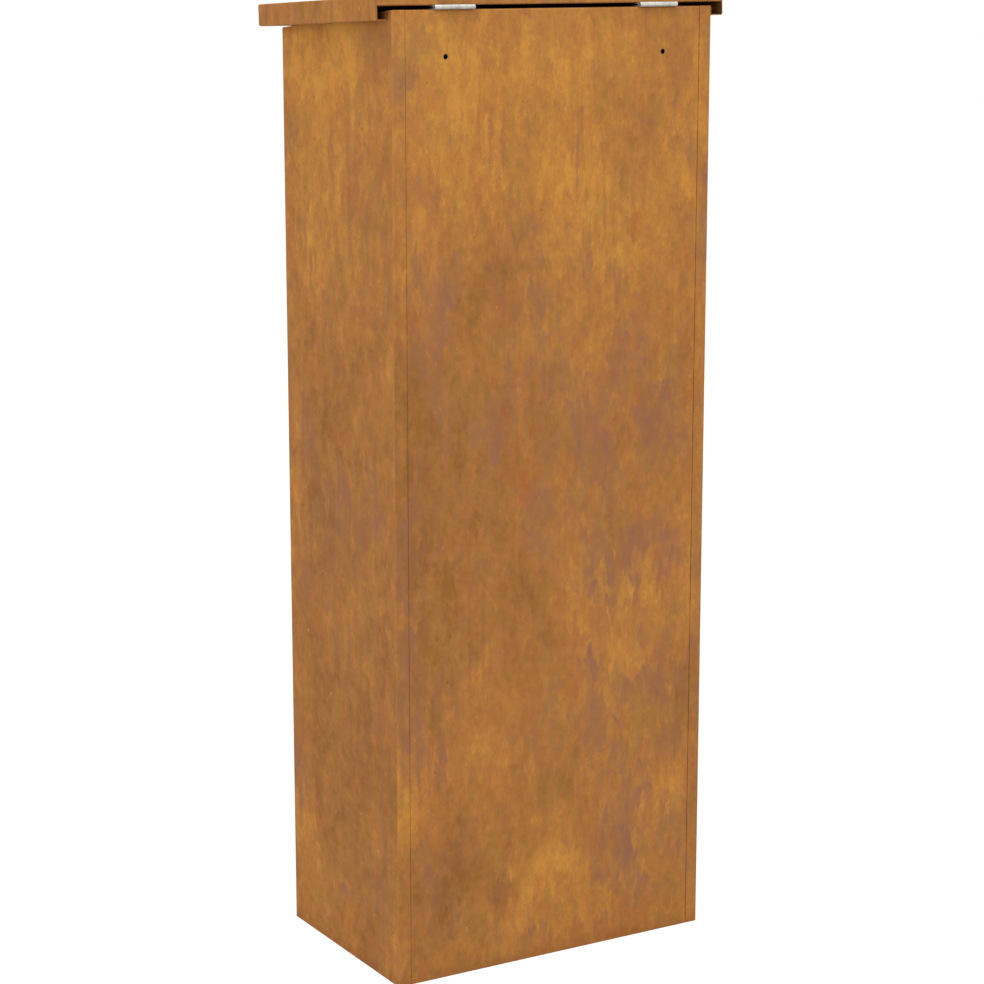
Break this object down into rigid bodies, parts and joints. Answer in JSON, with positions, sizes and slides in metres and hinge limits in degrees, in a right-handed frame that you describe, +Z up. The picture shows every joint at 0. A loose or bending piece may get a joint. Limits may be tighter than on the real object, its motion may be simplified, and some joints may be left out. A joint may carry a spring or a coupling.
{
  "type": "rusty mailbox",
  "caption": "Tall upright mailbox of folded weathered-steel sheet, with a hinged sloping lid on top and a lockable door low in the front.",
  "frame": {"origin": "middle of the base plate's underside, on the ground", "axes": "+Z up, the front with the door faces -Y, the back with the hinges faces +Y"},
  "size_m": [0.34, 0.2234, 0.8458],
  "materials": {
    "rusted_sheet": "matte",
    "rusted_base": "matte",
    "zinc_plate": "dull zinc plating with light soiling",
    "lock_metal": "worn bright plating",
    "rubber": "black, matt"
  },
  "bodies": {
    "body": {"left_side": "rusted_sheet", "right_side": "rusted_sheet", "back_panel": "rusted_sheet", "front_panel": "rusted_sheet", "base_plate": "rusted_base", "lid_rest_pad_left": "rubber", "lid_rest_pad_right": "rubber", "lid_hinge_left_body_leaf": "zinc_plate", "lid_hinge_left_pin": "zinc_plate", "lid_hinge_right_body_leaf": "zinc_plate", "lid_hinge_right_pin": "zinc_plate", "lid_hinge_body_rivets": "zinc_plate", "door_hinge_upper_frame_leaf": "zinc_plate", "door_hinge_upper_pin": "zinc_plate", "door_hinge_lower_frame_leaf": "zinc_plate", "door_hinge_lower_pin": "zinc_plate", "door_hinge_frame_rivets": "zinc_plate"},
    "lid": {"lid_hinge_left_lid_leaf": "zinc_plate", "lid_hinge_right_lid_leaf": "zinc_plate", "lid_hinge_lid_rivets": "zinc_plate", "lid": "rusted_sheet"},
    "door": {"door_hinge_upper_door_leaf": "zinc_plate", "door_hinge_lower_door_leaf": "zinc_plate", "door_hinge_door_rivets": "zinc_plate", "door": "rusted_sheet", "lock_barrel": "lock_metal", "lock_nut": "zinc_plate"},
    "lock": {"lock_plug": "lock_metal", "lock_cam": "zinc_plate", "lock_cam_washer": "zinc_plate", "lock_cam_screw": "zinc_plate"}
  },
  "joints": [
    {"name": "lid_hinge", "type": "hinge", "parent": "body", "child": "lid", "pos_m": [0, 0.10215, 0.8368], "axis": [-1, 0, 0], "range_deg": [0, 100]},
    {"name": "door_hinge", "type": "hinge", "parent": "body", "child": "door", "pos_m": [-0.1233, -0.10215, 0.26], "axis": [0, 0, -1], "range_deg": [0, 110]},
    {"name": "lock_turn", "type": "hinge", "parent": "door", "child": "lock", "pos_m": [0.099, -0.1, 0.26], "axis": [0, -1, 0], "range_deg": [0, 90]}
  ]
}
